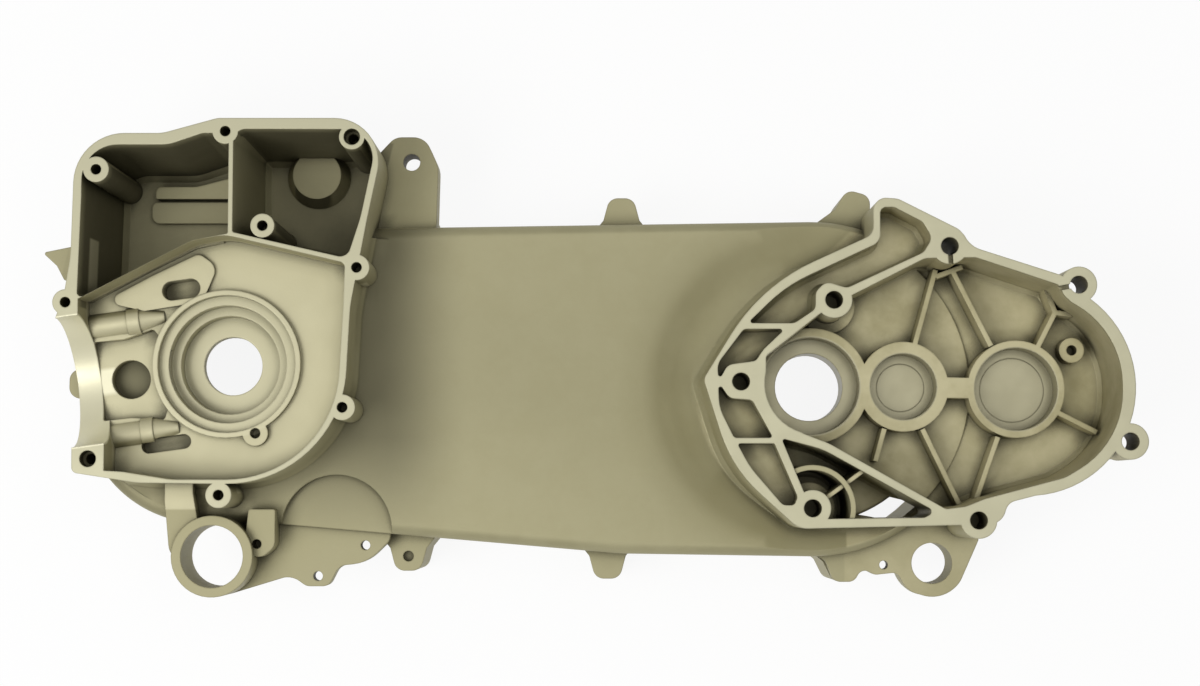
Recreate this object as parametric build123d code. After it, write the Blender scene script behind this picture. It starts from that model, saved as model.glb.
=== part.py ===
from build123d import *
from math import atan2, cos, degrees, hypot, radians, sin, sqrt, tan
import os

# Left crankcase half of a 150 cc belt-drive scooter engine, one aluminium casting.
# The crankshaft axis is Z, the joint face with the other half is the plane z = 0, the
# crank chamber and gearbox open upwards and the belt case opens downwards.
# All sizes are millimetres.

# Shaft centres on the joint face
CRANK = (0.0, 0.0)
DRIVEN = (282.0, -10.5)
COUNTER = (326.8, -10.8)
FINAL = (381.3, -12.0)

# Levels
CRANK_FLOOR = -25.0
CHAMBER_FLOOR = -80.0
GEAR_FLOOR = -43.0
ARM_FRONT = -38.0
ARM_REAR = -46.0
COVER_FACE = -104.0

# Smallest corner radius that casting leaves
SMALLEST_R = 0.4

# Wall and floor thicknesses
DIVIDER_WALL = 2.1
CASE_WALL = 5.0
CASE_FLOOR = 5.0
GEAR_BASE = 7.0
RIB_WALL = 2.4

# Cylinder mouth
MOUTH_ANGLE = 8.0
MOUTH_REACH = 74.0
SPIGOT_R = 30.9
SPIGOT_LENGTH = 12.0
STUD_HALF = 27.0
STUD_R = 3.5
STUD_BOSS_R = 6.0
STUD_BOSS_LENGTH = 30.0

# Main bearing and seals
LIP_R = 35.7
LIP_TOP = -22.0
RECESS_R = 33.2
RECESS_FLOOR = -26.0
MAIN_SEAT_R = 28.5
MAIN_SEAT_FLOOR = -34.0
INNER_SEAT_R = 24.0
INNER_SEAT_FLOOR = -43.0
CRANK_HOLE_R = 14.3
CRANK_BOSS_R = 38.0
CRANK_BOSS_FACE = -49.0

# Gearbox bearing seats
BEARING_TOP = -27.0
BEARING_FLOOR = -39.0
DRIVEN_SEAT_R = 23.5
COUNTER_SEAT_R = 16.0
FINAL_SEAT_R = 20.0
DRIVEN_BOSS_R = 28.1
COUNTER_BOSS_R = 21.8
FINAL_BOSS_R = 23.6
DRIVEN_HOLE_R = 16.5
DRIVEN_BOSS_FACE = -58.0
SHOULDER_DEPTH = 1.0
# Room round the driven seat where the cavity wall passes over it
SEAT_ENTRY = 0.8

# Screw and dowel holes
SCREW_R = 2.5
SCREW_DEPTH = 18.0
DOWEL_R = 3.9
DOWEL_DEPTH = 8.0
GEAR_SCREW_R = 4.2
GEAR_SCREW_DEPTH = 25.0
RIM_BOSS_R = 6.1
GEAR_LUG_R = 8.6
GEAR_LUG_DEPTH = 27.0
COVER_SCREW_R = 2.5

# Hangers
FRONT_TUBE = (-6.6, -92.6)
FRONT_TUBE_R = 15.0
FRONT_TUBE_WALL = 4.6
FRONT_TUBE_TOP = -25.0
FRONT_TUBE_LENGTH = 32.0
REAR_TUBE = (343.0, -96.5)
REAR_TUBE_R = 10.0
REAR_TUBE_WALL = 6.4
REAR_TUBE_TOP = -50.0
REAR_TUBE_LENGTH = 24.0
EAR_HOLE = (86.4, 102.0)
EAR_HOLE_R = 4.2
EAR_TOP = -50.0
EAR_THICKNESS = 17.5
PLATE_TOP = -46.0
PLATE_THICKNESS = 9.0

# Arm and ramp
ARM_EDGE_R = 6.0
RAMP_INNER_R = 58.0
RAMP_OUTER_R = 82.0
RAMP_REACH = 130.0
SKIRT_HEIGHT = 7.0
CRANK_SKIRT_WIDTH = 8.0
GEAR_SKIRT_WIDTH = 3.5

# Half-round flat on the lower front edge of the arm
RELIEF = (51.7, -80.2)
RELIEF_R = 27.0
RELIEF_FLOOR = -42.5
COVER_BOSS_TOP = -55.0

# Half outlines of a cover lug, from its root to its tip: along, across and corner radius
LUG = [
    (-14.0, 17.0, 0),
    (-4.0, 9.0, 0),
    (7.2, 6.0, 5.5),
    (7.2, -6.0, 5.5),
    (-4.0, -9.0, 0),
    (-14.0, -17.0, 0),
]
CHAMBER_DRAFT = 3.0
SPIGOT_FLOOR = -31.0
CLIP_PAD_TOP = -30.0
FIN_TOP = -55.0
FIN_THICKNESS = 10.0

# Flat step beside the upper stud boss, with a slot in it, and the slot at the lower boss
STEP = [
    (-60.0, 30.0, 3),
    (-36.5, 42.6, 6),
    (-14.0, 53.4, 4),
    (-5.0, 47.0, 6),
    (-12.0, 30.0, 0),
    (-40.0, 25.6, 4),
]
STEP_TOP = -23.0
STEP_SLOT = (-22.4, 36.0)
STEP_SLOT_LENGTH = 18.6
STEP_SLOT_WIDTH = 9.4
STEP_SLOT_FLOOR = -34.0
OIL_SLOT = (-29.0, -38.5)
OIL_SLOT_LENGTH = 24.0
OIL_SLOT_WIDTH = 7.0
OIL_SLOT_FLOOR = -33.0

# Platforms and a flat-sided boss on the floors of the breather chambers
PLATFORM_A = [
    (-45.0, 86.6, 1),
    (-45.0, 92.8, 3),
    (-24.0, 92.8, 12),
    (-8.0, 97.0, 0),
    (8.0, 97.0, 0),
    (8.0, 86.6, 0),
]
PLATFORM_A_TOP = -72.0
PLATFORM_B = [(-47.5, 74.6, 4), (-47.5, 85.4, 3), (8.0, 85.4, 0), (8.0, 74.6, 0)]
PLATFORM_B_TOP = -76.0
BREATHER_BOSS = (36.9, 98.4)
BREATHER_BOSS_R = 12.2
BREATHER_BOSS_TOP = -69.0
BREATHER_BOSS_FLARE = 4.1

# Low ridge along the edge of the crank chamber floor, towards the left chamber
RIDGE = [(-66.0, 30.4), (-37.8, 45.4), (-15.6, 56.6), (-2.0, 59.6)]

# Gearbox ribs, each from a bearing boss out to the rim
GEAR_RIBS = [
    ((342.9, 46.0), (332.6, 9.9)),
    ((350.9, 46.0), (369.4, 8.9)),
    ((343.0, 42.6), (356.0, 47.4)),
    ((400.7, 25.2), (392.1, 8.6)),
    ((400.7, 25.2), (396.0, 38.0)),
    ((400.7, 25.2), (409.0, 24.0)),
    ((401.5, -23.4), (420.0, -32.9)),
    ((335.8, -31.3), (354.0, -69.4)),
    ((372.2, -35.1), (360.6, -67.3)),
    ((317.4, -31.1), (313.0, -46.9)),
]
PLUG_BOSS = (409.6, 7.2)
PLUG_BOSS_TOP = -33.0
GEAR_STEP_R = 79.0
SPOKE_END = (308.0, -49.0)

CRANK_WEB_R = 52.0
CRANK_WEB_LEVEL = -33.0
MOUTH_WELL_R = 9.4

# Drain notches from two through holes of the gearbox into its cavity
DRAIN_NOTCHES = [((345.8, 54.6), (346.5, 43.0)), ((406.7, 36.2), (395.0, 34.0))]

# Small screw holes outside the rims: place, radius and the level that they start from
SMALL_HOLES = [
    ((14.3, -86.7), 2.3, -30.0),
    ((65.2, -87.6), 2.3, -46.0),
    ((42.1, -102.6), 2.3, -46.0),
    ((85.5, -93.1), 2.6, -46.0),
    ((319.3, -97.3), 2.1, -50.0),
]

# Joint face screws round the crank chamber, and its two dowels
RIM_SCREWS = [(-73.0, 27.9), (64.7, 44.4), (58.4, -21.9), (0.5, -63.2), (-59.4, 91.2), (1.8, 109.5)]
STRIP_SCREW = (19.9, 64.3)
RIM_DOWELS = [(-61.2, -46.1), (62.0, 106.8)]
LIP_SCREW = (14.2, -33.5)

# Gearbox screws: blind ones in the rim, through ones in lugs
GEAR_BLIND = [(290.8, 29.0), (246.6, -9.7), (280.1, -69.4), (358.1, -75.1)]
GEAR_THROUGH = [(345.8, 54.6), (406.7, 36.2), (430.0, -38.0)]

# Belt cover screws round the belt case flange
COVER_SCREWS = [(190.7, 77.5), (307.0, 80.5), (183.7, -97.0), (299.6, -98.0), (85.5, -93.1)]
COVER_SCREWS += [(90.0, 72.5), (-76.0, -8.0), (366.0, -38.0), (364.0, 24.0)]


def shifted(corners, inset, swell=0.0):
    """The corners with every side moved inwards, and each radius made smaller by a swell."""
    area = sum(
        a[0] * b[1] - b[0] * a[1] for a, b in zip(corners, corners[1:] + corners[:1])
    )
    turning = 1 if area > 0 else -1
    moved = []
    for i, (x, y, radius) in enumerate(corners):
        back = (Vector(x, y) - Vector(*corners[i - 1][:2])).normalized()
        ahead = (Vector(*corners[(i + 1) % len(corners)][:2]) - Vector(x, y)).normalized()
        inward = (back + ahead).normalized().rotate(Axis.Z, 90 * turning)
        bend = back.cross(ahead).Z * turning
        spread = inset / sqrt((1 + back.dot(ahead)) / 2)
        place = Vector(x, y) + inward * spread
        changed = max(radius - (swell if bend > 0 else -swell), SMALLEST_R)
        moved.append((place.X, place.Y, changed if radius > 0 else 0))
    return moved


def outline(corners):
    """A closed face through corners (x, y, radius), each corner rounded to its radius."""
    spans = []
    count = len(corners)
    for i, (x, y, radius) in enumerate(corners):
        here = Vector(x, y)
        back = Vector(*corners[i - 1][:2]) - here
        ahead = Vector(*corners[(i + 1) % count][:2]) - here
        half = radians(back.get_angle(ahead)) / 2
        reach = radius / tan(half)
        middle = (back.normalized() + ahead.normalized()).normalized()
        start = here + back.normalized() * reach
        end = here + ahead.normalized() * reach
        top = here + middle * (radius / sin(half) - radius)
        spans.append((start, top if radius > 0 else None, end))
    edges = []
    for i, (start, middle, end) in enumerate(spans):
        if middle is not None:
            edges.append(ThreePointArc(start, middle, end))
        following = spans[(i + 1) % count][0]
        if (following - end).length > 0.001:
            edges.append(Line(end, following))
    return make_face(Wire(edges))


def stack(corners, sections):
    """A solid through the same outline at several (level, inset, swell) sections."""
    faces = [
        Pos(0, 0, level) * outline(shifted(corners, inset, swell))
        for level, inset, swell in sections
    ]
    slices = [Solid.make_loft([a.wire(), b.wire()], True) for a, b in zip(faces, faces[1:])]
    return Part() + slices


def hollow(corners, floor, draft=0.0, foot=0.0, top=0.0):
    """A cutter from just above a level to a floor, with drafted sides and a rounded foot."""
    lean = tan(radians(draft))
    deep = lean * (top - floor - foot)
    sections = [(top + 1, -lean, -lean), (floor + foot, deep, deep)]
    if foot > 0:
        sections.append((floor, deep + foot, deep + foot))
    return stack(corners, sections)


def disc(centre, radius):
    """A round face about a point."""
    return Pos(centre[0], centre[1]) * Circle(radius)


def discs(centres, radius):
    """Round faces of one size about several points."""
    return [disc(centre, radius) for centre in centres]


def prism(face, top, bottom):
    """A face carried straight down from one level to another."""
    return extrude(Pos(0, 0, top) * face, amount=top - bottom, dir=(0, 0, -1))


def drill(centre, radius, top, bottom):
    """A round cutter between two levels."""
    return Pos(centre[0], centre[1], bottom) * Cylinder(
        radius, top - bottom, align=(Align.CENTER, Align.CENTER, Align.MIN)
    )


def band(start, end, width):
    """A straight strip of one width between two points, with square ends."""
    run = hypot(end[0] - start[0], end[1] - start[1])
    turn = degrees(atan2(end[1] - start[1], end[0] - start[0]))
    middle = ((start[0] + end[0]) / 2, (start[1] + end[1]) / 2)
    return Pos(*middle) * Rot(0, 0, turn) * Rectangle(run, width)


def along_mouth(reach, side):
    """The point at a distance along the cylinder axis and a distance to its lower side."""
    turn = radians(MOUTH_ANGLE)
    return (
        CRANK[0] - reach * cos(turn) + side * sin(turn),
        CRANK[1] - reach * sin(turn) - side * cos(turn),
    )


def mouth_cylinder(start, end, side, level, radius, radius_end=None):
    """A round bar parallel to the cylinder axis, between two distances from the crank."""
    x, y = along_mouth(start, side)
    bar = (
        Cylinder(radius, end - start)
        if radius_end is None
        else Cone(radius, radius_end, end - start)
    )
    bar = Pos(0, 0, (end - start) / 2) * bar
    return Pos(x, y, level) * Rot(0, 0, 180 + MOUTH_ANGLE) * Rot(0, 90, 0) * bar


# Outline of the crank chamber and the two breather chambers on the joint face
deck_high = along_mouth(MOUTH_REACH, -SPIGOT_R)
deck_low = along_mouth(MOUTH_REACH, SPIGOT_R + 0.5)
CRANK_RIM = [
    (*deck_low, 0),
    (-68.8, -52.6, 3),
    (-38.0, -57.4, 30),
    (57.6, -58.6, 56),
    (61.8, 26.0, 60),
    (69.6, 68.0, 80),
    (79.6, 115.8, 21),
    (-2.0, 115.8, 12),
    (-28.0, 108.6, 20),
    (-69.6, 108.6, 24),
    (-70.8, 50.0, 60),
    (-73.6, 32.0, 6),
    (*deck_high, 0),
]
crank_rim = outline(CRANK_RIM)
for face in discs(RIM_SCREWS + RIM_DOWELS, RIM_BOSS_R):
    crank_rim = crank_rim + face

# Inside of the crank chamber: its upper edge is the strip and the low ridge
crank_inside = outline(
    [
        (-80.0, -50.2, 0),
        (-45.0, -52.2, 20),
        (-22.0, -55.9, 30),
        (54.2, -55.9, 53),
        (58.6, 26.0, 40),
        (59.2, 46.6, 3),
        (2.0, 60.0, 20),
        (-14.0, 57.2, 20),
        (-66.0, 30.0, 2),
        (-80.0, 24.0, 0),
    ]
)
LEFT_CHAMBER = [
    (-67.6, 29.2, 2),
    (-66.2, 78.0, 60),
    (-66.2, 103.1, 17),
    (-25.0, 103.1, 20),
    (-9.0, 108.6, 6),
    (4.6 - DIVIDER_WALL / 2, 108.6, 1),
    (4.6 - DIVIDER_WALL / 2, 60.5, 1),
    (-14.0, 57.2, 20),
]
RIGHT_CHAMBER = [
    (4.6 + DIVIDER_WALL / 2, 110.6, 6),
    (4.6 + DIVIDER_WALL / 2, 61.2, 1),
    (60.2, 48.7, 5),
    (66.4, 68.0, 80),
    (75.2, 110.4, 14),
]

# Belt case, seen from above: round the crank at the front, round the driven shaft behind
BELT_CASE = [
    (-74.0, 66.4, 60),
    (20.0, 67.4, 300),
    (366.0, 72.6, 81),
    (364.0, -94.2, 81),
    (190.0, -91.6, 60),
    (20.0, -77.0, 100),
    (-74.0, -77.0, 60),
]

# Side of the crank housing that reaches down past the arm, round the two chambers
CHAMBER_SIDE = [
    (-90.0, 20.0, 0),
    (-62.0, 24.0, 0),
    (-14.0, 52.5, 0),
    (4.0, 56.0, 0),
    (62.0, 43.0, 0),
    (90.0, 43.0, 0),
    (90.0, 130.0, 0),
    (-90.0, 130.0, 0),
]
MOUTH_BLOCK = [
    (-90.0, -60.0, 0),
    (-53.6, -60.0, 0),
    (-53.6, -39.5, 4),
    (-67.0, 21.5, 4),
    (-67.0, 60.0, 0),
    (-90.0, 60.0, 0),
]
MOUTH_POCKET = [
    (-64.6, 10.6, 1),
    (-50.0, 12.0, 8),
    (-36.0, 17.0, 2),
    (-22.0, 0.0, 0),
    (-30.0, -27.0, 2),
    (-46.0, -26.0, 8),
    (-59.4, -27.6, 1),
]
FRONT_PLATE = [
    (-42.6, -50.0, 0),
    (-42.4, -70.4, 5),
    (-30.2, -70.6, 2),
    (-28.8, -96.0, 20),
    (-20.0, -112.0, 14),
    (-3.0, -112.0, 18),
    (29.0, -102.2, 10),
    (36.4, -107.6, 6),
    (47.4, -107.6, 5),
    (52.4, -97.6, 6),
    (66.0, -96.2, 20),
    (77.0, -85.4, 6),
    (80.0, -60.0, 0),
    (0.0, -40.0, 0),
]
TUBE_WEB = [
    (-30.0, -66.0, 3),
    (-27.5, -92.0, 8),
    (-10.0, -100.0, 0),
    (-14.0, -76.0, 2),
    (-16.5, -62.0, 2),
    (-16.5, -50.0, 0),
    (-30.0, -50.0, 0),
]
CLIP_PAD = [
    (10.2, -70.0, 1),
    (23.0, -70.0, 1),
    (23.0, -88.0, 6),
    (16.0, -94.0, 6),
    (8.0, -90.0, 2),
]
REAR_PLATE = [
    (282.0, -80.0, 0),
    (284.0, -92.4, 4),
    (290.6, -94.6, 5),
    (294.6, -105.6, 5),
    (304.8, -105.6, 5),
    (308.6, -98.8, 4),
    (315.0, -102.2, 4),
    (326.0, -101.0, 4),
    (332.0, -112.0, 12),
    (354.0, -112.0, 14),
    (366.6, -84.0, 4),
    (352.0, -60.0, 0),
]
EAR = [
    (70.0, 106.0, 3),
    (78.0, 114.6, 8),
    (93.0, 114.6, 9),
    (99.6, 100.0, 12),
    (98.6, 60.0, 0),
    (70.0, 60.0, 0),
]
FIN = [
    (-97.6, 57.4, 1),
    (-84.0, 60.2, 2),
    (-60.0, 61.0, 0),
    (-60.0, 42.0, 0),
    (-86.5, 43.4, 2),
    (-90.4, 50.8, 3),
]

# Gearbox rim and the hollows inside it
GEAR_RIM = [
    (228.9, -8.5, 5),
    (242.2, -50.6, 66),
    (273.6, -79.0, 10),
    (368.6, -76.8, 8),
    (372.0, -66.8, 6),
    (396.0, -60.6, 10),
    (404.0, -12.0, 0),
    (400.0, 40.2, 3),
    (356.4, 54.2, 12),
    (350.6, 62.4, 8),
    (321.4, 77.2, 8),
    (309.7, 78.0, 6),
    (309.7, 60.2, 6),
    (256.3, 35.7, 90),
]
gear_rim = outline(GEAR_RIM)
gear_rim = gear_rim + disc(FINAL, 51.6)
for face in discs(GEAR_BLIND[3:] + GEAR_THROUGH, GEAR_LUG_R):
    gear_rim = gear_rim + face
GEAR_CAVITY = [
    (258.4, 2.4, 3),
    (258.4, -24.0, 23),
    (276.0, -34.4, 10),
    (288.0, -39.0, 30),
    (342.6, -69.8, 4),
    (352.0, -68.6, 5),
    (361.0, -65.0, 8),
    (399.0, -55.0, 20),
    (426.7, -38.4, 43),
    (426.7, 14.2, 43),
    (402.5, 28.2, 6),
    (397.0, 36.2, 4),
    (358.0, 49.2, 6),
    (334.0, 48.8, 8),
    (300.0, 31.6, 6),
    (284.0, 22.4, 8),
]
GEAR_POCKETS = [
    (
        -25.0,
        2.0,
        [
            (249.8, 17.9, 1),
            (272.0, 17.9, 5),
            (282.0, 24.6, 4),
            (282.2, 33.0, 5),
            (287.0, 37.6, 5),
            (297.0, 34.6, 5),
            (333.4, 51.6, 5),
            (337.6, 58.4, 5),
            (333.0, 66.2, 5),
            (319.6, 73.2, 4),
            (312.9, 73.2, 3),
            (312.9, 56.6, 6),
            (268.0, 35.6, 70),
        ],
    ),
    (
        -20.0,
        0.0,
        [
            (267.6, 15.2, 1),
            (257.4, 5.6, 12),
            (253.6, 0.0, 3),
            (240.4, -1.8, 5),
            (236.0, -9.6, 1),
            (235.4, -1.4, 8),
            (248.0, 15.2, 3),
        ],
    ),
    (
        -14.0,
        0.0,
        [
            (235.8, -9.8, 1),
            (241.2, -17.6, 5),
            (251.8, -18.4, 3),
            (261.6, -36.3, 1),
            (243.2, -36.3, 2),
            (236.2, -22.0, 20),
        ],
    ),
    (
        -14.0,
        0.0,
        [
            (244.6, -38.9, 1),
            (262.2, -38.9, 1),
            (273.0, -64.0, 3),
            (271.6, -68.0, 2.5),
            (266.0, -68.0, 4),
            (250.6, -50.0, 40),
        ],
    ),
    (
        -48.0,
        1.5,
        [
            (265.4, -36.4, 1),
            (285.0, -41.6, 40),
            (338.0, -71.0, 2),
            (332.6, -73.8, 3),
            (286.0, -74.4, 3),
            (276.0, -62.0, 3),
        ],
    ),
]


gear_wall = outline(
    [
        (220.0, -90.0, 0),
        (372.0, -90.0, 0),
        (420.0, -62.0, 0),
        (434.0, -28.0, 0),
        (434.0, 10.0, 0),
        (400.0, 44.0, 0),
        (340.0, 64.0, 0),
        (318.0, 90.0, 0),
        (220.0, 90.0, 0),
    ]
)


def ramp_cutter(low, high, inner, outer):
    """What lies above a gentle ramp round the driven shaft, from a low to a high level."""
    above = 5
    corners = [
        (0, above),
        (0, low),
        (inner, low),
        (outer, high),
        (RAMP_REACH, high),
        (RAMP_REACH, above),
        (0, above),
    ]
    profile = make_face(Polyline(*corners))
    return Pos(*DRIVEN) * revolve(Rot(90, 0, 0) * profile, Axis.Z)


def cover_lug(centre):
    """A screw lug on the belt case flange: round at its tip, flared to the wall."""
    spine = (min(max(centre[0], CRANK[0]), DRIVEN[0]), -9.0)
    outward = atan2(centre[1] - spine[1], centre[0] - spine[0])
    profile = []
    for along, side, radius in LUG:
        for_side = (
            centre[0] + along * cos(outward) - side * sin(outward),
            centre[1] + along * sin(outward) + side * cos(outward),
            radius,
        )
        profile.append(for_side)
    return prism(outline(profile), COVER_BOSS_TOP, COVER_FACE)


def belt_shell():
    """The belt case as a solid block, higher in front, with a soft ramp down to the rear."""
    low = prism(outline(BELT_CASE), ARM_REAR, COVER_FACE)
    low = fillet(low.edges().group_by(Axis.Z)[-1], ARM_EDGE_R)
    high = prism(outline(BELT_CASE), ARM_FRONT, ARM_REAR - 20)
    high = fillet(high.edges().group_by(Axis.Z)[-1], ARM_EDGE_R)
    high = high - ramp_cutter(ARM_REAR, ARM_FRONT + 0.05, RAMP_INNER_R, RAMP_OUTER_R)
    body = low + high
    for centre in COVER_SCREWS:
        body += cover_lug(centre)
    return body - drill(RELIEF, RELIEF_R, 0, RELIEF_FLOOR)


def skirt(corners, level, width):
    """A hollow-curved skirt where a wall meets the arm, kept inside the arm's edge."""
    flare = stack(
        corners,
        [
            (level + SKIRT_HEIGHT, 0, 0),
            (level + SKIRT_HEIGHT * 0.35, -width * 0.3, -width * 0.3),
            (level, -width, -width),
        ],
    )
    return flare & prism(outline(shifted(BELT_CASE, ARM_EDGE_R, ARM_EDGE_R)), 0, level - 1)


def chamber_shell():
    """The outer walls and bottoms of the crank chamber and the two breather chambers."""
    crank = prism(crank_rim, 0, ARM_FRONT - 10)
    upper = prism(crank_rim & outline(CHAMBER_SIDE), 0, CHAMBER_FLOOR - CASE_FLOOR)
    return crank + upper


def gear_shell():
    """The gearbox rim with its base, and the lugs of the through screws."""
    body = prism(gear_rim & gear_wall, 0, GEAR_FLOOR - GEAR_BASE)
    return body + prism(gear_rim, 0, -GEAR_LUG_DEPTH)


def hangers():
    """The front tube on its plate, the rear eye on its plate, and the upper ear."""
    front = prism(outline(FRONT_PLATE), PLATE_TOP, PLATE_TOP - PLATE_THICKNESS)
    front += drill(
        FRONT_TUBE,
        FRONT_TUBE_R + FRONT_TUBE_WALL,
        FRONT_TUBE_TOP,
        FRONT_TUBE_TOP - FRONT_TUBE_LENGTH,
    )
    front += prism(outline(TUBE_WEB), FRONT_TUBE_TOP - 3, PLATE_TOP - 2)
    front += prism(outline(CLIP_PAD), CLIP_PAD_TOP, PLATE_TOP - 2)
    rear = prism(outline(REAR_PLATE), REAR_TUBE_TOP, REAR_TUBE_TOP - PLATE_THICKNESS)
    rear += drill(
        REAR_TUBE,
        REAR_TUBE_R + REAR_TUBE_WALL,
        REAR_TUBE_TOP,
        REAR_TUBE_TOP - REAR_TUBE_LENGTH,
    )
    ear = prism(outline(EAR), EAR_TOP, EAR_TOP - EAR_THICKNESS)
    fin = prism(outline(FIN), FIN_TOP, FIN_TOP - FIN_THICKNESS)
    return front + rear + ear + fin


def spigot_hollow():
    """The crank chamber with the cylinder mouth and the pocket behind it."""
    room = prism(crank_inside, 1, CRANK_FLOOR) - prism(outline(MOUTH_BLOCK), 2, COVER_FACE)
    room += mouth_cylinder(MOUTH_REACH - SPIGOT_LENGTH - 5, MOUTH_REACH + 10, 0, 0, SPIGOT_R)
    return room + hollow(MOUTH_POCKET, SPIGOT_FLOOR, top=CRANK_FLOOR + 4)


def stud_bosses():
    """Two bars for the cylinder studs, with a collar and a taper, sunk in the floor."""
    bars = Part()
    far = MOUTH_REACH - SPIGOT_LENGTH + 1
    neck = far - STUD_BOSS_LENGTH * 0.6
    for side in (-STUD_HALF, STUD_HALF):
        bars += mouth_cylinder(neck, far, side, -STUD_HALF, STUD_BOSS_R)
        bars += mouth_cylinder(neck - 6, neck, side, -STUD_HALF, STUD_BOSS_R + 0.8)
        bars += mouth_cylinder(
            neck - 18, neck - 6, side, -STUD_HALF, STUD_BOSS_R - 2.6, STUD_BOSS_R
        )
    return bars


def crank_details():
    """What stands on the crank chamber floor: the bearing lip with its boss, and the ridge."""
    details = drill(CRANK, LIP_R, LIP_TOP, CRANK_FLOOR - 2)
    details += drill(LIP_SCREW, RIM_BOSS_R, LIP_TOP, CRANK_FLOOR - 2)
    for start, end in zip(RIDGE, RIDGE[1:]):
        details += prism(band(start, end, 1.6), CRANK_FLOOR + 2.6, CRANK_FLOOR - 2)
    step = prism(outline(STEP), STEP_TOP, CRANK_FLOOR - 2)
    return details + (step - stud_bosses())


def slots():
    """The slot in the flat step and the oil slot at the lower stud boss."""
    upper = Pos(*STEP_SLOT) * Rot(0, 0, MOUTH_ANGLE) * SlotOverall(STEP_SLOT_LENGTH, STEP_SLOT_WIDTH)
    lower = Pos(*OIL_SLOT) * Rot(0, 0, MOUTH_ANGLE) * SlotOverall(OIL_SLOT_LENGTH, OIL_SLOT_WIDTH)
    return prism(upper, STEP_TOP + 1, STEP_SLOT_FLOOR) + prism(lower, STEP_TOP, OIL_SLOT_FLOOR)


def breather_details():
    """What stands on the floors of the breather chambers: two platforms and a boss."""
    foot = CHAMBER_FLOOR - 1
    details = prism(outline(PLATFORM_A), PLATFORM_A_TOP, foot)
    details += prism(outline(PLATFORM_B), PLATFORM_B_TOP, foot)
    height = BREATHER_BOSS_TOP - foot
    cone = Cone(BREATHER_BOSS_R + BREATHER_BOSS_FLARE, BREATHER_BOSS_R, height)
    return details + Pos(*BREATHER_BOSS, foot + height / 2) * cone


def chamber_hollow(corners):
    """One breather chamber, drafted, with the screw bosses left standing in it."""
    room = hollow(corners, CHAMBER_FLOOR, CHAMBER_DRAFT, 3)
    for centre in RIM_SCREWS + RIM_DOWELS:
        room -= drill(centre, RIM_BOSS_R, 2, CHAMBER_FLOOR - 2)
    return room - drill(STRIP_SCREW, 5.7, 2, CHAMBER_FLOOR - 2)


def gear_hollow():
    """The gear cavity with the screw bosses left standing in it."""
    room = hollow(GEAR_CAVITY, GEAR_FLOOR, 1, 2)
    for centre in GEAR_BLIND[:1] + GEAR_THROUGH:
        room -= drill(centre, GEAR_LUG_R, 2, GEAR_FLOOR - 2)
    return room


def gear_details():
    """What stands on the gear cavity floor: bearing bosses, their bridge, ribs and a boss."""
    details = drill(DRIVEN, DRIVEN_BOSS_R, BEARING_TOP, GEAR_FLOOR - 1)
    details += drill(COUNTER, COUNTER_BOSS_R, BEARING_TOP, GEAR_FLOOR - 1)
    details += drill(FINAL, FINAL_BOSS_R, BEARING_TOP, GEAR_FLOOR - 1)
    details += prism(band(COUNTER, FINAL, 10), BEARING_TOP, GEAR_FLOOR - 1)
    details += prism(band(DRIVEN, COUNTER, 22), BEARING_TOP, GEAR_FLOOR - 1)
    for start, end in GEAR_RIBS:
        details += prism(band(start, end, RIB_WALL), BEARING_TOP, GEAR_FLOOR - 1)
    details += drill(PLUG_BOSS, 6.1, PLUG_BOSS_TOP, GEAR_FLOOR - 1)
    details += drill(DRIVEN, GEAR_STEP_R, GEAR_FLOOR + 1.5, GEAR_FLOOR - 1)
    details += drill(GEAR_BLIND[0], GEAR_LUG_R + 5, GEAR_FLOOR + 8, GEAR_FLOOR - 1)
    return details & prism(outline(GEAR_CAVITY), 0, GEAR_FLOOR - 1)


def corner_ring():
    """The ring, its spoke and the screw boss in the deep corner pocket of the gearbox."""
    centre = GEAR_BLIND[2]
    ring = drill(centre, 20.4, -1, -49) - drill(centre, 18.0, 0, -50)
    ring += prism(band(centre, SPOKE_END, 1.9), -3, -49)
    ring += drill(centre, 15.4, -38, -49) + drill(centre, 12.4, -22, -49)
    return ring & prism(outline(GEAR_POCKETS[4][2]), 0, -49)


def belt_hollow():
    """The belt space, open to the cover, with a floor that follows the arm above it."""
    room = prism(
        outline(shifted(BELT_CASE, CASE_WALL, CASE_WALL)), ARM_FRONT - CASE_FLOOR, COVER_FACE - 1
    )
    room -= ramp_cutter(
        ARM_REAR - CASE_FLOOR, ARM_FRONT - CASE_FLOOR + 0.05, RAMP_INNER_R, RAMP_OUTER_R
    )
    web = drill(CRANK, CRANK_WEB_R, CRANK_WEB_LEVEL, COVER_FACE)
    room += web & Pos(50, 0, -60) * Box(120, 130, 100)
    room -= drill(RELIEF, RELIEF_R + CASE_WALL, 0, RELIEF_FLOOR - CASE_FLOOR)
    room -= drill(CRANK, CRANK_BOSS_R, 0, CRANK_BOSS_FACE)
    room -= drill(DRIVEN, DRIVEN_SEAT_R + 3, 0, DRIVEN_BOSS_FACE)
    for corners in (LEFT_CHAMBER, RIGHT_CHAMBER):
        room -= prism(outline(shifted(corners, -3.4)), 1, CHAMBER_FLOOR - CASE_FLOOR)
    for turn in range(0, 360, 45):
        reach = (DRIVEN[0] + 80 * cos(radians(turn)), DRIVEN[1] + 80 * sin(radians(turn)))
        room -= prism(band(DRIVEN, reach, 3), 0, ARM_REAR - CASE_FLOOR - 4)
    return room


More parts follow.
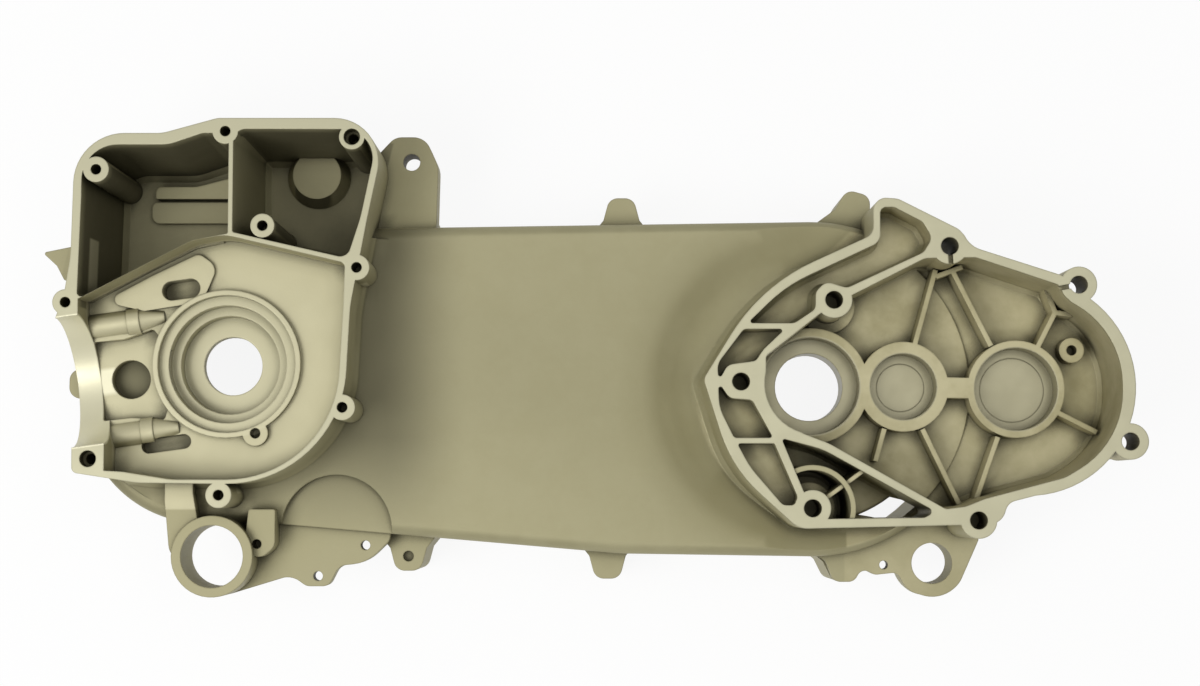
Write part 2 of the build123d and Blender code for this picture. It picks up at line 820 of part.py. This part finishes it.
def bores():
    """Every machined hole: seats, screw holes, dowel seats and hanger eyes."""
    cut = drill(CRANK, RECESS_R, 1, RECESS_FLOOR)
    cut += drill(CRANK, MAIN_SEAT_R, 1, MAIN_SEAT_FLOOR)
    cut += drill(CRANK, INNER_SEAT_R, 1, INNER_SEAT_FLOOR)
    cut += drill(CRANK, CRANK_HOLE_R, 1, COVER_FACE)
    cut += drill(DRIVEN, DRIVEN_SEAT_R, BEARING_TOP, BEARING_FLOOR)
    cut += drill(DRIVEN, DRIVEN_SEAT_R + SEAT_ENTRY, 1, BEARING_TOP)
    cut += drill(DRIVEN, DRIVEN_HOLE_R, BEARING_TOP, COVER_FACE)
    for centre, radius in ((COUNTER, COUNTER_SEAT_R), (FINAL, FINAL_SEAT_R)):
        cut += drill(centre, radius, BEARING_TOP + 1, BEARING_FLOOR)
        cut += drill(centre, radius - 4.3, BEARING_TOP + 1, BEARING_FLOOR - SHOULDER_DEPTH)
    for centre in RIM_SCREWS + [STRIP_SCREW]:
        cut += drill(centre, SCREW_R, 1, -SCREW_DEPTH)
    for centre in RIM_DOWELS:
        cut += drill(centre, DOWEL_R, 1, -DOWEL_DEPTH)
        cut += drill(centre, SCREW_R, 1, -SCREW_DEPTH - DOWEL_DEPTH)
    cut += drill(LIP_SCREW, SCREW_R, 1, LIP_TOP - 10)
    for centre in GEAR_BLIND:
        cut += drill(centre, GEAR_SCREW_R, 1, -GEAR_SCREW_DEPTH)
    for centre in GEAR_THROUGH:
        cut += drill(centre, GEAR_SCREW_R, 1, COVER_FACE)
    cut += drill(PLUG_BOSS, SCREW_R, BEARING_TOP, GEAR_FLOOR + 1)
    cut += drill(FRONT_TUBE, FRONT_TUBE_R, 1, COVER_FACE)
    cut += drill(REAR_TUBE, REAR_TUBE_R, 1, COVER_FACE)
    cut += drill(EAR_HOLE, EAR_HOLE_R, 1, COVER_FACE)
    for centre in COVER_SCREWS:
        cut += drill(centre, COVER_SCREW_R, COVER_FACE + SCREW_DEPTH, COVER_FACE - 1)
    for centre, radius, top in SMALL_HOLES:
        cut += drill(centre, radius, top + 1, top - 12)
    x, y = along_mouth(SPIGOT_LENGTH + 36, 0.5)
    cut += drill((x, y), MOUTH_WELL_R, 0, SPIGOT_FLOOR - 8)
    for side in (-STUD_HALF, STUD_HALF):
        cut += mouth_cylinder(MOUTH_REACH - 22, MOUTH_REACH + 10, side, -STUD_HALF, STUD_R)
    for start, end in DRAIN_NOTCHES:
        cut += prism(band(start, end, 2.2), 1, -3)
    return cut


part = belt_shell() + chamber_shell() + gear_shell() + hangers()
part += skirt(CRANK_RIM, ARM_FRONT, CRANK_SKIRT_WIDTH)
part += skirt(GEAR_RIM, ARM_REAR, GEAR_SKIRT_WIDTH)
part -= belt_hollow()
part -= spigot_hollow()
part += (stud_bosses() & prism(crank_inside, 0, CRANK_FLOOR - 12)) + crank_details()
part -= slots()
part -= chamber_hollow(LEFT_CHAMBER)
part -= chamber_hollow(RIGHT_CHAMBER)
part += breather_details()
part -= gear_hollow()
part += gear_details()
for floor, foot, corners in GEAR_POCKETS:
    part -= hollow(corners, floor, 0, foot)
part += drill(GEAR_BLIND[2], GEAR_LUG_R, 0, -49) + corner_ring()
part -= bores()
os.makedirs("parts", exist_ok=True)
export_step(part, "parts/crankcase_half.step")
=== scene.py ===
from math import atan, cos, radians, sin

import bpy
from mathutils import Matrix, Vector


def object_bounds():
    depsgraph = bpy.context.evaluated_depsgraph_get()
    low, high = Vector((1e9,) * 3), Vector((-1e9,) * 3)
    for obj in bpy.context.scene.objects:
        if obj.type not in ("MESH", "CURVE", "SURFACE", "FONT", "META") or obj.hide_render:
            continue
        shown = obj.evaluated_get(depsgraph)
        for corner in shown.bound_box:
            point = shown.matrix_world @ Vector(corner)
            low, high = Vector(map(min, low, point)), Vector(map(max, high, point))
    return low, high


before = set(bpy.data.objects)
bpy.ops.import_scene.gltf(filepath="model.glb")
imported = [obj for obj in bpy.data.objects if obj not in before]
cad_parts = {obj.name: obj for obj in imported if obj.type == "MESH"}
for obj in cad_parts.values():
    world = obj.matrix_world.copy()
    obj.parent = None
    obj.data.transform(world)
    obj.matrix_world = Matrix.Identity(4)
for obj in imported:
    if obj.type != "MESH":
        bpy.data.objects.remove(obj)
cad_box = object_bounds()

# Casting: the whole crankcase half is one aluminium casting, shot-blasted after casting.
# Its joint face, bearing seats, cylinder mouth and screw faces are machined afterwards.
# The mesh is the CAD node's own: its facets are smoothed, and its true edges stay sharp.
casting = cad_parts["crankcase_half"]
weld_distance = 0.00001
largest_smooth_bend = radians(32)


def smooth_casting(piece):
    """Joins the loose triangles and smooths all but the sharp edges."""
    weld = piece.modifiers.new("Join", "WELD")
    weld.merge_threshold = weld_distance
    group = bpy.data.node_groups.new("Soft edges", "GeometryNodeTree")
    group.interface.new_socket("Mesh", in_out="INPUT", socket_type="NodeSocketGeometry")
    group.interface.new_socket("Mesh", in_out="OUTPUT", socket_type="NodeSocketGeometry")
    start = group.nodes.new("NodeGroupInput")
    end = group.nodes.new("NodeGroupOutput")
    smooth_faces = group.nodes.new("GeometryNodeSetShadeSmooth")
    smooth_faces.domain = "FACE"
    crease = group.nodes.new("GeometryNodeSetShadeSmooth")
    crease.domain = "EDGE"
    crease.inputs["Shade Smooth"].default_value = False
    bend = group.nodes.new("GeometryNodeInputMeshEdgeAngle")
    sharp = group.nodes.new("FunctionNodeCompare")
    sharp.operation = "GREATER_THAN"
    sharp.inputs[1].default_value = largest_smooth_bend
    group.links.new(bend.outputs["Unsigned Angle"], sharp.inputs[0])
    group.links.new(start.outputs[0], smooth_faces.inputs["Geometry"])
    group.links.new(smooth_faces.outputs[0], crease.inputs["Geometry"])
    group.links.new(sharp.outputs[0], crease.inputs["Selection"])
    group.links.new(crease.outputs[0], end.inputs[0])
    piece.modifiers.new("Soft edges", "NODES").node_group = group


smooth_casting(casting)

# Finish of the casting: khaki-grey blasted aluminium, paler and smoother where it is machined.
# Painted shade darkens the breather chambers, the arm along the crank chamber's wall and every
# corner.
# Colours are linear values, the metal's own under plain light except for the painted shade and
# highlight, and lengths are metres.
blasted_pale = (0.385, 0.357, 0.215, 1)
blasted_dark = (0.33, 0.304, 0.175, 1)
ramp_shade_colour = (0.26, 0.236, 0.125, 1)
wall_shadow_colour = (0.09, 0.083, 0.045, 1)
floor_pale = (0.57, 0.535, 0.355, 1)
machined_pale = (0.465, 0.443, 0.302, 1)
turned_pale = (0.5, 0.47, 0.31, 1)
gear_turned = (0.35, 0.325, 0.21, 1)
# The cylinder mouth: paler turned metal, and paler still as a painted highlight.
mouth_pale_highlight = (0.7, 0.67, 0.48, 1)
chamber_shade_colour = (0.11, 0.1, 0.056, 1)
gearbox_pale = (0.57, 0.52, 0.325, 1)
gearbox_patch_dark = (0.37, 0.33, 0.18, 1)
corner_shade_colour = (0.045, 0.04, 0.018, 1)

metal = bpy.data.materials.new("Blasted cast aluminium")
metal.use_nodes = True
tree = metal.node_tree
tree.nodes.clear()
place = tree.nodes.new("ShaderNodeTexCoord").outputs["Object"]
split = tree.nodes.new("ShaderNodeSeparateXYZ")
tree.links.new(place, split.inputs[0])
across, along, height = split.outputs
shape = tree.nodes.new("ShaderNodeNewGeometry")
facing = tree.nodes.new("ShaderNodeSeparateXYZ")
tree.links.new(shape.outputs["Normal"], facing.inputs[0])


def work(operation, first, second=None, third=None, clamp=False):
    """One Math node on sockets or numbers."""
    node = tree.nodes.new("ShaderNodeMath")
    node.operation = operation
    node.use_clamp = clamp
    for slot, value in zip(node.inputs, (first, second, third)):
        if value is None:
            continue
        if isinstance(value, (int, float)):
            slot.default_value = value
        else:
            tree.links.new(value, slot)
    return node.outputs[0]


def both(first, *others):
    """1 where every mask is 1."""
    for other in others:
        first = work("MULTIPLY", first, other)
    return first


def either(first, *others):
    """1 where any mask is 1."""
    for other in others:
        first = work("MAXIMUM", first, other)
    return first


def opposite(mask):
    """1 where a mask is 0."""
    return work("SUBTRACT", 1, mask)


def share(mask, amount, base=0.0):
    """A base, and an amount more where a mask is 1."""
    return work("MULTIPLY_ADD", mask, amount, base)


def slant(across_part, along_part, base=0.0):
    """Distance from an upright plane."""
    return work("MULTIPLY_ADD", along, along_part, work("MULTIPLY_ADD", across, across_part, base))


def diagonal(a, b):
    """Length of the diagonal over two sides."""
    return work("SQRT", work("ADD", work("MULTIPLY", a, a), work("MULTIPLY", b, b)))


def distance_from(axis):
    """Distance from an upright axis."""
    return diagonal(work("SUBTRACT", across, axis[0]), work("SUBTRACT", along, axis[1]))


def between(value, limits, edge):
    """1 where a value lies between two limits, with edges of a given width."""
    low, high = limits
    rise = work("MULTIPLY_ADD", value, 1 / edge, -low / edge + 0.5, clamp=True)
    fall = work("MULTIPLY_ADD", value, -1 / edge, high / edge + 0.5, clamp=True)
    return work("MULTIPLY", rise, fall)


def ramp(value, zero_at, one_at):
    """Passes smoothly from 0 to 1 between two values."""
    node = tree.nodes.new("ShaderNodeMapRange")
    node.interpolation_type = "SMOOTHSTEP"
    node.inputs["From Min"].default_value = zero_at
    node.inputs["From Max"].default_value = one_at
    tree.links.new(value, node.inputs["Value"])
    return node.outputs["Result"]


def noise(scale, detail, roughness=0.55):
    """Cloudy noise through the metal."""
    node = tree.nodes.new("ShaderNodeTexNoise")
    node.inputs["Scale"].default_value = scale
    node.inputs["Detail"].default_value = detail
    node.inputs["Roughness"].default_value = roughness
    tree.links.new(place, node.inputs["Vector"])
    return node.outputs["Fac"]


def tint(factor, base, over):
    """Lays one colour over another by a factor."""
    node = tree.nodes.new("ShaderNodeMix")
    node.data_type = "RGBA"
    tree.links.new(factor, node.inputs["Factor"])
    for slot, value in ((node.inputs["A"], base), (node.inputs["B"], over)):
        if isinstance(value, tuple):
            slot.default_value = value
        else:
            tree.links.new(value, slot)
    return node.outputs["Result"]


# Directions: flat faces that look up, walls, and faces that look in towards a middle.
upward = ramp(facing.outputs["Z"], 0.75, 0.95)
not_wall = ramp(facing.outputs["Z"], 0.2, 0.6)
wall = ramp(facing.outputs["Z"], 0.8, 0.3)


def inward(middle_across, middle_along):
    """1 on floors and on walls that face a middle, 0 on the outer walls."""
    to_across = work("SUBTRACT", middle_across, across)
    to_along = work("SUBTRACT", middle_along, along)
    across_part = work("MULTIPLY", to_across, facing.outputs["X"])
    along_part = work("MULTIPLY", to_along, facing.outputs["Y"])
    toward = work("ADD", across_part, along_part)
    return either(upward, ramp(toward, 0.0, 0.003))


# Machined places: the joint face, the bearing seats round their axes, and the cylinder mouth,
# which is a bore that lies in the joint face and is turned a little from the arm.
cut_edge = 0.0004
joint_face = both(between(height, (-0.0004, 0.001), cut_edge), upward)


def seat(axis, reach, levels, edge=cut_edge):
    """The turned seat round an axis, out to a reach and between two levels."""
    return both(between(distance_from(axis), (0, reach), edge), between(height, levels, cut_edge))


driven_axis = (0.282, -0.0105)
blind_levels = (-0.042, -0.0268)
crank_seats = seat((0.0, 0.0), 0.0362, (-0.044, -0.0212), edge=0.0006)
driven_seat = seat(driven_axis, 0.0242, (-0.06, -0.026))
counter_seat = seat((0.3268, -0.0108), 0.0165, blind_levels)
final_seat = seat((0.3813, -0.012), 0.0205, blind_levels)
gear_seats = either(driven_seat, either(counter_seat, final_seat))

mouth_turn = radians(8)
mouth_side = slant(sin(mouth_turn), -cos(mouth_turn))
mouth_out = slant(-cos(mouth_turn), -sin(mouth_turn))
mouth_wall = between(diagonal(mouth_side, height), (0.0295, 0.0316), cut_edge)
mouth_bore = both(mouth_wall, between(mouth_out, (0.055, 0.08), 0.001))
turned = either(crank_seats, gear_seats, mouth_bore)

# Hollow places: the crank chamber's floor, the two breather chambers with a divider between
# them, and the gearbox, whose upper left rim is straight and whose lower left rim is round.
crank_floor = both(
    between(height, (-0.034, -0.018), 0.003),
    between(across, (-0.09, 0.075), 0.002),
    between(along, (-0.07, 0.0605), 0.001),
    inward(0.0, 0.0),
)
right_chamber = ramp(across, 0.005, 0.02)
left_middle = -0.045
middles_apart = 0.077
middles_along = 0.078
chamber_middle = share(right_chamber, middles_apart, left_middle)
chambers = both(
    between(slant(1, -0.24), (-0.099, 0.0505), 0.001),
    between(along, (0.026, 0.1115), 0.001),
    between(height, (-0.09, -0.0045), 0.009),
    opposite(crank_floor),
    inward(chamber_middle, middles_along),
)
raised_face = both(between(height, (-0.0775, -0.06), 0.002), upward)
straight_rim = ramp(slant(0.691, -0.723, -0.1616), -0.001, 0.001)
round_rim = between(distance_from((0.3, -0.008)), (0, 0.073), 0.002)
past_round_rim = between(across, (0.3, 0.45), 0.001)
gearbox = both(
    straight_rim,
    either(round_rim, past_round_rim),
    between(height, (-0.05, -0.0015), 0.002),
    inward(0.325, -0.01),
)

# Painted shade: the ramp round the driven shaft, a painted shadow of the crank chamber's wall on
# the arm along its foot, and painted shade in all corners.
# Painted shade on the ramp round the driven shaft, where the arm slopes down towards the rear.
ramp_shade = both(
    between(distance_from(driven_axis), (0.062, 0.084), 0.02),
    between(height, (-0.047, -0.036), 0.001),
)
# Painted shadow of the crank chamber's wall, cast on the arm along its foot and fading away from
# it.
wall_foot_shadow = both(
    ramp(across, 0.118, 0.074),
    between(along, (-0.06, 0.085), 0.05),
    between(height, (-0.0475, -0.0345), 0.001),
    not_wall,
)
# Painted shade in corners and creases, from ambient occlusion, a little less on turned faces.
corner = tree.nodes.new("ShaderNodeAmbientOcclusion")
corner.samples = 4
corner.inputs["Distance"].default_value = 0.009
corner.only_local = True
painted_corner_shade = ramp(corner.outputs["AO"], 0.86, 0.36)

# Colour: mottled blasting, with each place's tint, painted shade or painted highlight laid over it
# at its own strength.
mottle = ramp(noise(scale=60, detail=5), 0.3, 0.7)
patch = ramp(noise(scale=9, detail=2), 0.35, 0.7)
stain = ramp(noise(scale=24, detail=5, roughness=0.65), 0.38, 0.72)
# The gearbox's tone: paler than the blasted metal, with darker noisy patches.
gearbox_tone = tint(stain, gearbox_pale, gearbox_patch_dark)
# Painted shade in the breather chambers: nearly black on their walls, darker on the right
# chamber's floor, with noise on the floors and none on the raised face.
chamber_floor_shade = both(share(right_chamber, 0.4, share(stain, 0.2, 0.1)), opposite(raised_face))
chamber_shade_strength = either(chamber_floor_shade, share(wall, 0.9))
skin = tint(share(patch, 0.15, share(mottle, 0.6)), blasted_dark, blasted_pale)
for strength, colour in (
    (share(ramp_shade, 0.45), ramp_shade_colour),
    (share(wall_foot_shadow, 0.74), wall_shadow_colour),
    (share(crank_floor, 0.8), floor_pale),
    (share(gearbox, 0.7), gearbox_tone),
    (both(chambers, chamber_shade_strength), chamber_shade_colour),
    (joint_face, machined_pale),
    (turned, turned_pale),
    (gear_seats, gear_turned),
    (mouth_bore, mouth_pale_highlight),
    (both(painted_corner_shade, share(turned, -0.3, 0.9)), corner_shade_colour),
):
    skin = tint(strength, skin, colour)

# Surface: fine pits of the blasting and soft waves of the mould, both fainter where the metal
# is machined, and edges rounded as a casting's are.
pits = noise(scale=1500, detail=2, roughness=0.6)
waves = noise(scale=130, detail=3, roughness=0.5)
as_cast = share(either(joint_face, turned), -0.8, 1.0)
relief = work("ADD", both(pits, share(as_cast, 0.35)), both(waves, share(as_cast, 0.8)))
rounded = tree.nodes.new("ShaderNodeBevel")
rounded.samples = 4
rounded.inputs["Radius"].default_value = 0.0009
bump = tree.nodes.new("ShaderNodeBump")
bump.inputs["Strength"].default_value = 0.35
bump.inputs["Distance"].default_value = 0.00025
tree.links.new(relief, bump.inputs["Height"])
tree.links.new(rounded.outputs[0], bump.inputs["Normal"])

roughness = share(mottle, 0.08, 0.52)
roughness = share(turned, -0.16, roughness)
roughness = share(joint_face, -0.08, roughness)
gloss = tree.nodes.new("ShaderNodeBsdfPrincipled")
gloss.inputs["Metallic"].default_value = 0.35
gloss.inputs["Specular IOR Level"].default_value = 0.35
tree.links.new(roughness, gloss.inputs["Roughness"])
tree.links.new(skin, gloss.inputs["Base Color"])
tree.links.new(bump.outputs[0], gloss.inputs["Normal"])
surface = tree.nodes.new("ShaderNodeOutputMaterial")
tree.links.new(gloss.outputs[0], surface.inputs["Surface"])
casting.data.materials.clear()
casting.data.materials.append(metal)

# Floor: a plain white sheet under the belt case flange. It is nearly white to the camera and
# to reflections, and keeps the casting's shadow.
sheet_width = 8
sheet_gap = 0.0002
sheet_glow = 0.9
bpy.ops.mesh.primitive_plane_add(size=sheet_width, location=(0.18, 0, cad_box[0][2] - sheet_gap))
floor = bpy.context.object
floor.name = "floor"
sheet = bpy.data.materials.new("White sheet")
sheet.use_nodes = True
nodes = sheet.node_tree.nodes
links = sheet.node_tree.links
plain = nodes["Principled BSDF"]
plain.inputs["Base Color"].default_value = (0.86, 0.86, 0.85, 1)
plain.inputs["Roughness"].default_value = 0.9
bright = nodes.new("ShaderNodeEmission")
bright.inputs["Strength"].default_value = 1.0
path = nodes.new("ShaderNodeLightPath")
seen = nodes.new("ShaderNodeMath")
seen.operation = "MAXIMUM"
links.new(path.outputs["Is Camera Ray"], seen.inputs[0])
links.new(path.outputs["Is Glossy Ray"], seen.inputs[1])
glow = nodes.new("ShaderNodeMath")
glow.operation = "MULTIPLY"
glow.inputs[1].default_value = sheet_glow
links.new(seen.outputs[0], glow.inputs[0])
blend = nodes.new("ShaderNodeMixShader")
links.new(glow.outputs[0], blend.inputs[0])
links.new(plain.outputs[0], blend.inputs[1])
links.new(bright.outputs[0], blend.inputs[2])
links.new(blend.outputs[0], nodes["Material Output"].inputs["Surface"])
floor.data.materials.append(sheet)

# Light: a soft box from the left, which shades the arm behind the crank chamber's wall, a
# weaker one from straight above, and a pale room.


def soft_box(name, spot, target, size, watts):
    """A square lamp at a spot, turned to a target."""
    data = bpy.data.lights.new(name, "AREA")
    data.shape = "SQUARE"
    data.size = size
    data.energy = watts
    lamp = bpy.data.objects.new(name, data)
    lamp.location = spot
    aim = Vector(target) - Vector(spot)
    lamp.rotation_euler = aim.to_track_quat("-Z", "Y").to_euler()
    bpy.context.scene.collection.objects.link(lamp)


soft_box("key", spot=(-0.65, -0.4, 1.3), target=(0.15, 0, 0), size=0.8, watts=13.5)
soft_box("fill", spot=(0.5, 0.1, 1.6), target=(0.2, 0, 0), size=0.9, watts=6)
room = bpy.data.worlds.new("Room")
bpy.context.scene.world = room
room.use_nodes = True
room.node_tree.nodes["Background"].inputs["Color"].default_value = (1, 1, 1, 1)
room.node_tree.nodes["Background"].inputs["Strength"].default_value = 0.46

# Camera: almost straight above the arm, a little from the front, as the photograph. Its focal
# length and its sight line's offset from straight down are in the photograph's pixels.
photo_width = 1200
focal_pixels = 2260
offset_pixels = 157
film_width = 36
eye = bpy.data.cameras.new("camera")
eye.sensor_width = film_width
eye.lens = film_width * focal_pixels / photo_width
camera = bpy.data.objects.new("camera", eye)
camera.location = (0.180, -0.0655, 1.065)
camera.rotation_euler = (atan(offset_pixels / focal_pixels), 0, 0)
bpy.context.scene.collection.objects.link(camera)
bpy.context.scene.camera = camera
bpy.context.scene.view_settings.view_transform = "Standard"
